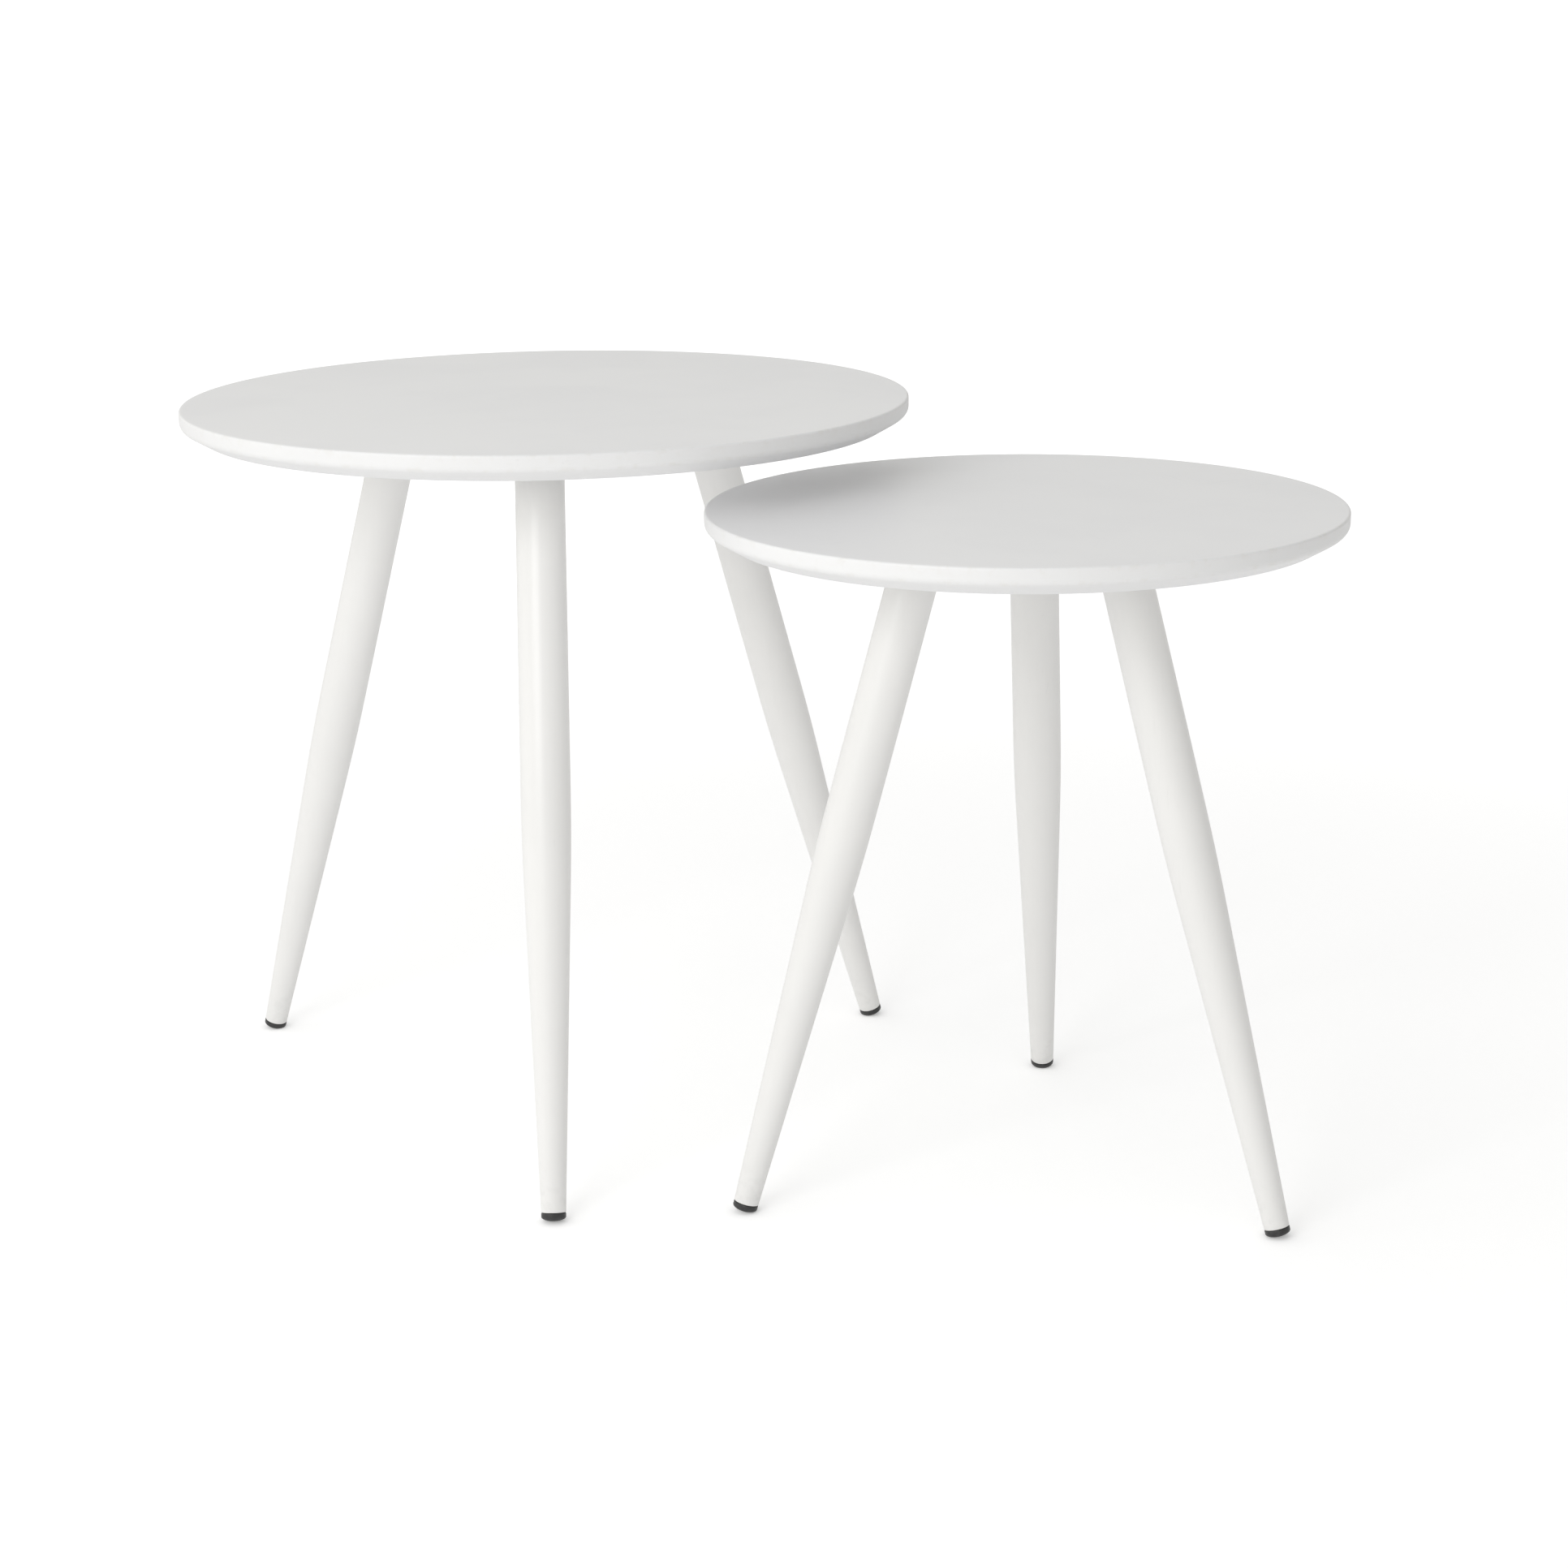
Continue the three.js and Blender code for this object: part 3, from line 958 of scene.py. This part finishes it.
class PlateShape:
    """Sizes of a mounting plate, in an upright frame at the point where the leg's line starts."""

    def __init__(self, line, settings):
        self.sheet = settings.plate_thickness
        self.corner = settings.plate_corner
        self.seat_radius = line.head_radius + settings.seat_lip
        self.seat_drop = line.head - GAP
        self.flange = -GAP - self.sheet  # height of the flange's lower face
        self.lean = Matrix.Rotation(-line.splay, 4, "Y")
        self.shift = self.seat_drop * math.sin(line.splay)

    def seat(self, spoke, reach):
        """Point of the slanted seat, at a distance from the leg's line."""
        return self.lean @ (spoke * reach - Vector((0, 0, self.seat_drop)))


def plate_half(line):
    """Half the side of the plate's flange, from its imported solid."""
    local = corners_of(line.node("plate")) @ np.array(line.upright().to_3x3())
    return (local[:, 0].max() - local[:, 0].min()) / 2


def sheet_mesh(shape, half, segments=96):
    """A pressed plate's flange, wall and slanted seat as one sheet, without its thickness."""
    bm = bmesh.new()
    rows = []
    centre = Vector((shape.shift, 0, shape.flange))
    for i in range(segments):
        angle = 2 * math.pi * i / segments
        spoke = Vector((math.cos(angle), math.sin(angle), 0))
        brim = shape.seat(spoke, shape.seat_radius)
        rise = (shape.flange - brim.z) / (shape.lean @ Vector((0, 0, 1))).z
        foot = brim + shape.lean @ Vector((0, 0, rise))
        out = (foot - centre).normalized()
        reach = square_reach(out, half, shape.corner)
        edge = centre + out * reach
        turn = min(PLATE_BEND, rise * 0.45)
        upward = (foot - brim).normalized()
        inward = (shape.seat(spoke, 0) - brim).normalized()
        middle = (STUD_BORE + shape.seat_radius) / 2
        path = [shape.seat(spoke, STUD_BORE), shape.seat(spoke, middle)]
        path += soft_corner(brim, inward, upward, turn)
        path += soft_corner(foot, -upward, out, turn)
        path += [foot.lerp(edge, 0.5), edge]
        rows.append([bm.verts.new(p) for p in path])
    for i in range(segments):
        here, after = rows[i], rows[(i + 1) % segments]
        for j in range(len(here) - 1):
            bm.faces.new((here[j], here[j + 1], after[j + 1], after[j]))
    return as_mesh("plate", bm)


def plate_mesh(shape, half, screw_spots):
    """A pressed plate with its thickness, the collar round the stud, and its screw holes."""
    sheet = add_object("plate", sheet_mesh(shape, half))
    pressed = thickened(sheet, shape.sheet, PLATE_EDGE, segments=2, degrees=60)
    top = -(shape.seat_drop - shape.sheet - COLLAR_HEIGHT)
    bottom = -shape.seat_drop + shape.sheet / 2
    corners = [
        (STUD_BORE, bottom, 0),
        (COLLAR_RADIUS, bottom, 0),
        (COLLAR_RADIUS, top, BROKEN_EDGE),
        (STUD_BORE, top, BROKEN_EDGE),
    ]
    collar = turned_mesh("collar", rounded(corners, steps=3), segments=48, ring=True)
    collar.transform(shape.lean)
    joined = carve(pressed, [collar], "UNION")
    holes = []
    for x, y in screw_spots:
        hole = rod_mesh(SCREW_HOLE, shape.flange - CUT_PAST, CUT_PAST)
        hole.transform(Matrix.Translation((x, y, 0)))
        holes.append(hole)
    return carve(joined, holes)


def soft_corner(corner, before, after, reach, steps=4):
    """Points of a bend at a corner, from `reach` before it to `reach` after it."""
    start, end = corner + before * reach, corner + after * reach
    return [
        start.lerp(corner, t).lerp(corner.lerp(end, t), t)
        for t in (i / steps for i in range(steps + 1))
    ]


def square_reach(direction, half, corner):
    """Distance from the middle of a square with rounded corners to its outline."""
    x, y = abs(direction.x), abs(direction.y)
    reach = half / max(x, y)
    inner = half - corner
    if min(x, y) * reach > inner:
        along = inner * (x + y)
        reach = along + math.sqrt(along**2 - (2 * inner**2 - corner**2))
    return reach


def screw_mesh(settings, length):
    """A pan-head wood screw, point up, with a cross recess and its shoulder at height 0."""
    head, height = settings.head_radius, settings.head_height
    thread = threaded_mesh(
        "thread",
        SHANK_RADIUS,
        SCREW_THREAD_DEPTH,
        settings.thread_pitch,
        0.0001,
        length,
        (0.0001, POINT_LENGTH),
        segments=20,
    )
    corners = [
        (0, -height, 0),
        (head * 0.66, -height, 0.0012),
        (head, -height * 0.35, 0.0008),
        (head, 0, 0.0002),
        (0, 0, 0),
    ]
    pan = turned_mesh("pan", rounded(corners, steps=5), segments=40)
    blades = []
    for turn in (0, math.pi / 2):
        blade = wedge_mesh(head * 0.62, head * 0.16, height * 0.62, -height)
        blade.transform(Matrix.Rotation(turn, 4, "Z"))
        blades.append(blade)
    recessed = carve(pan, blades)
    return carve(recessed, [thread], "UNION")


def wedge_mesh(reach, thickness, depth, height):
    """One blade of a cross driver's point, which narrows as it goes in from a height."""
    outer, inner = (reach, thickness), (reach * 0.3, thickness * 0.5)
    signs = ((1, 1), (-1, 1), (-1, -1), (1, -1))
    levels = ((outer, height - CUT_PAST / 2), (outer, height), (inner, height + depth))
    rings = [[(sx * x, sy * y, z) for sx, sy in signs] for (x, y), z in levels]
    return bridged_mesh("wedge", rings)


def screw_spot(node):
    """Axis of a packed screw, and the lowest and highest point on it."""
    low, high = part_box(node)
    return Vector(((low.x + high.x) / 2, (low.y + high.y) / 2)), low.z, high.z


# ---- Operators ----


class BuildBoards(bpy.types.Operator):
    """Build the two boards"""

    bl_idname = "nest.boards"
    bl_label = "Boards"

    def execute(self, context):
        settings = context.scene.nest_boards
        lacquer = board_lacquer(settings.colour)
        for table in TABLES:
            board = Board(table)
            mesh = board_mesh(board, settings)
            mesh.transform(Matrix.Translation(board.centre))
            finish_piece(f"{table}_board", mesh, table, lacquer, [f"{table}_top"])
        return {"FINISHED"}


class BuildTubes(bpy.types.Operator):
    """Build the six tapering leg tubes"""

    bl_idname = "nest.tubes"
    bl_label = "Leg tubes"

    def execute(self, context):
        settings = context.scene.nest_legs
        coat = leg_powder_coat(settings.colour)
        for line in each_leg():
            mesh = tube_mesh(line, settings, coat)
            mesh.transform(line.along_leg())
            finish_leg_piece(line, "tube", mesh, coat)
        return {"FINISHED"}


class BuildInserts(bpy.types.Operator):
    """Build the inserts and the threaded studs in the heads of the tubes"""

    bl_idname = "nest.inserts"
    bl_label = "Inserts and studs"

    def execute(self, context):
        settings = context.scene.nest_legs
        zinc = zinc_plate(context.scene.nest_fittings.colour)
        for line in each_leg():
            stud = corners_of(line.node("stud")) - np.array(line.start)
            along = stud @ np.array(line.down)
            across = np.linalg.norm(stud - np.outer(along, line.down), axis=1)
            radius, top, end = across.max(), along.min(), along.max()
            mesh = insert_mesh(line, radius, end - line.head)
            mesh.transform(line.along_leg())
            finish_leg_piece(line, "insert", mesh, zinc)
            mesh = threaded_mesh(
                "stud",
                radius,
                settings.thread_depth,
                settings.thread_pitch,
                -end,
                -top,
                (STUD_TIP, STUD_TIP),
                segments=40,
            )
            mesh.transform(line.along_leg())
            finish_leg_piece(line, "stud", mesh, zinc)
        return {"FINISHED"}


class BuildGlides(bpy.types.Operator):
    """Build the six plastic glides"""

    bl_idname = "nest.glides"
    bl_label = "Glides"

    def execute(self, context):
        settings = context.scene.nest_glides
        plastic = glide_plastic(settings.colour)
        for line in each_leg():
            mesh = glide_mesh(line, settings)
            mesh.transform(line.along_leg())
            cut_flat(mesh)
            finish_leg_piece(line, "glide", mesh, plastic)
        return {"FINISHED"}


class BuildPlates(bpy.types.Operator):
    """Build the six pressed mounting plates"""

    bl_idname = "nest.plates"
    bl_label = "Mounting plates"

    def execute(self, context):
        settings = context.scene.nest_fittings
        zinc = zinc_plate(settings.colour)
        for line in each_leg():
            upright = line.upright()
            centres = [screw_spot(node)[0] for node in screw_nodes(line.table, line.leg)]
            spots = [(upright.inverted() @ centre.to_3d())[:2] for centre in centres]
            mesh = plate_mesh(PlateShape(line, settings), plate_half(line), spots)
            mesh.transform(upright)
            finish_leg_piece(line, "plate", mesh, zinc)
        return {"FINISHED"}


class BuildScrews(bpy.types.Operator):
    """Stand a wood screw at every hole of the plates"""

    bl_idname = "nest.screws"
    bl_label = "Wood screws"

    def execute(self, context):
        settings = context.scene.nest_fittings
        zinc = zinc_plate(settings.colour)
        for table in TABLES:
            nodes = [node for leg in LEGS for node in screw_nodes(table, leg)]
            spots = [screw_spot(node) for node in nodes]
            low, high = spots[0][1:]
            shoulder = low + settings.head_height
            single = add_object("screw", screw_mesh(settings, high - shoulder))
            points = bpy.data.meshes.new("points")
            points.from_pydata([(*spot, shoulder) for spot, _, _ in spots], [], [])
            grower = grower_for("screws", points, screw_tree(), {"Screw": single, "Material": zinc})
            mesh = smoothed(settle(grower))
            bpy.data.objects.remove(single)
            finish_piece(f"{table}_screws", mesh, table, zinc, nodes)
        return {"FINISHED"}


class BuildStage(bpy.types.Operator):
    """Set up the floor, the lights and the camera"""

    bl_idname = "nest.stage"
    bl_label = "Stage"

    def execute(self, context):
        settings = context.scene.nest_stage
        build_floor(settings)
        build_key(settings)
        build_sky(context.scene, settings)
        build_camera(context.scene, settings)
        context.scene.view_settings.view_transform = "Standard"
        return {"FINISHED"}


def build_floor(settings):
    """A pale floor that looks brighter than it lights, and more so further away."""
    mesh = bpy.data.meshes.new("floor")
    signs = ((-1, -1), (1, -1), (1, 1), (-1, 1))
    corners = [(x * FLOOR_REACH, y * FLOOR_REACH, -FLOOR_DROP) for x, y in signs]
    mesh.from_pydata(corners, [], [(0, 1, 2, 3)])
    made, tree, shader, place = new_material("pale_floor")
    away = add_node(tree, "ShaderNodeVectorMath", {0: place}, operation="LENGTH").outputs["Value"]
    bright = smooth_step(
        tree, away, FLOOR_NEAR, FLOOR_FAR, start=settings.floor_seen, end=FLOOR_FAR_SEEN
    )
    added = math_node(tree, "SUBTRACT", bright, settings.floor_glow)
    seen = add_node(tree, "ShaderNodeLightPath").outputs["Is Camera Ray"]
    glow = math_node(tree, "MULTIPLY_ADD", seen, added, settings.floor_glow)
    feed_named(
        tree,
        shader,
        Base_Color=(*settings.floor_colour, 1),
        Roughness=0.6,
        Specular_IOR_Level=0.0,
        Emission_Color=(1, 1, 1, 1),
        Emission_Strength=glow,
    )
    mesh.materials.append(made)
    floor = add_object("floor", mesh)


def build_key(settings):
    """A soft rectangular lamp that faces the middle of the nest."""
    light = bpy.data.lights.new("key", "AREA")
    light.shape = "RECTANGLE"
    light.size = settings.key_width
    light.size_y = settings.key_tall
    light.energy = settings.key_power
    lamp = add_object("key", light)
    side, height = settings.key_side, settings.key_height
    level = math.cos(height)
    away = Vector((math.sin(side) * level, -math.cos(side) * level, math.sin(height)))
    middle = (cad_box[0] + cad_box[1]) / 2
    lamp.location = middle + away * settings.key_distance
    lamp.rotation_mode = "QUATERNION"
    lamp.rotation_quaternion = away.to_track_quat("Z", "Y")
    lamp.visible_camera = False


def build_sky(scene, settings):
    """White to the camera. As a light it is dimmer, and tinted near the floor."""
    world = bpy.data.worlds.new("sky")
    world.use_nodes = True
    tree = world.node_tree
    towards = add_node(tree, "ShaderNodeTexCoord").outputs["Generated"]
    lean = add_node(
        tree,
        "ShaderNodeVectorMath",
        {0: towards, 1: settings.sky_lean},
        operation="DOT_PRODUCT",
    )
    leaning = math_node(tree, "ADD", lean.outputs["Value"], settings.sky)
    cast = math_node(tree, "MAXIMUM", leaning, SKY_LEAST)
    seen = add_node(tree, "ShaderNodeLightPath").outputs["Is Camera Ray"]
    strength = math_node(tree, "MAXIMUM", cast, seen)
    above = math_node(tree, "MULTIPLY", height_of(tree, towards), SKY_CLEARING)
    clear = math_node(tree, "MAXIMUM", above, seen)
    clear.node.use_clamp = True
    tint = mixed(tree, clear, (*settings.horizon, 1), (1, 1, 1, 1))
    feed_named(tree, tree.nodes["Background"], Color=tint, Strength=strength)
    scene.world = world


def build_camera(scene, settings):
    data = bpy.data.cameras.new("camera")
    data.lens = settings.camera_lens
    data.sensor_width = SENSOR_WIDTH
    camera = add_object("camera", data)
    turn, tilt = settings.camera_turn, settings.camera_tilt
    level = math.cos(tilt)
    ahead = Vector((-math.sin(turn) * level, math.cos(turn) * level, -math.sin(tilt)))
    right = Vector((math.cos(turn), math.sin(turn), 0))
    aimed = Matrix((right, right.cross(ahead), -ahead)).transposed().to_4x4()
    roll = Matrix.Rotation(-settings.camera_roll, 4, "Z")
    camera.matrix_world = Matrix.Translation(settings.camera_place) @ aimed @ roll
    scene.camera = camera


class NestPanel(bpy.types.Panel):
    """The nest's settings, each group with the buttons that build its pieces"""

    bl_idname = "VIEW3D_PT_nest"
    bl_label = "Nest of tables"
    bl_space_type = "VIEW_3D"
    bl_region_type = "UI"
    bl_category = "Tables"

    def draw(self, context):
        for settings, operators in PANEL_ROWS:
            group = getattr(context.scene, settings)
            box = self.layout.box()
            for name in group.bl_rna.properties.keys():
                if name not in ("rna_type", "name"):
                    box.prop(group, name)
            for operator in operators:
                box.operator(operator.bl_idname)


SETTINGS = {
    "nest_boards": BoardSettings,
    "nest_legs": LegSettings,
    "nest_glides": GlideSettings,
    "nest_fittings": FittingSettings,
    "nest_stage": StageSettings,
}
PANEL_ROWS = (
    ("nest_boards", (BuildBoards,)),
    ("nest_legs", (BuildTubes, BuildInserts)),
    ("nest_glides", (BuildGlides,)),
    ("nest_fittings", (BuildPlates, BuildScrews)),
    ("nest_stage", (BuildStage,)),
)
OPERATORS = [operator for _, operators in PANEL_ROWS for operator in operators]


def register():
    for name, group in SETTINGS.items():
        bpy.utils.register_class(group)
        setattr(bpy.types.Scene, name, PointerProperty(type=group))
    for cls in (*OPERATORS, NestPanel):
        bpy.utils.register_class(cls)


def unregister():
    for cls in reversed((*OPERATORS, NestPanel)):
        bpy.utils.unregister_class(cls)
    for name, group in SETTINGS.items():
        delattr(bpy.types.Scene, name)
        bpy.utils.unregister_class(group)


def main():
    register()
    bpy.ops.nest.stage()
    bpy.ops.nest.boards()
    bpy.ops.nest.tubes()
    bpy.ops.nest.inserts()
    bpy.ops.nest.glides()
    bpy.ops.nest.plates()
    bpy.ops.nest.screws()


if __name__ == "__main__":
    main()
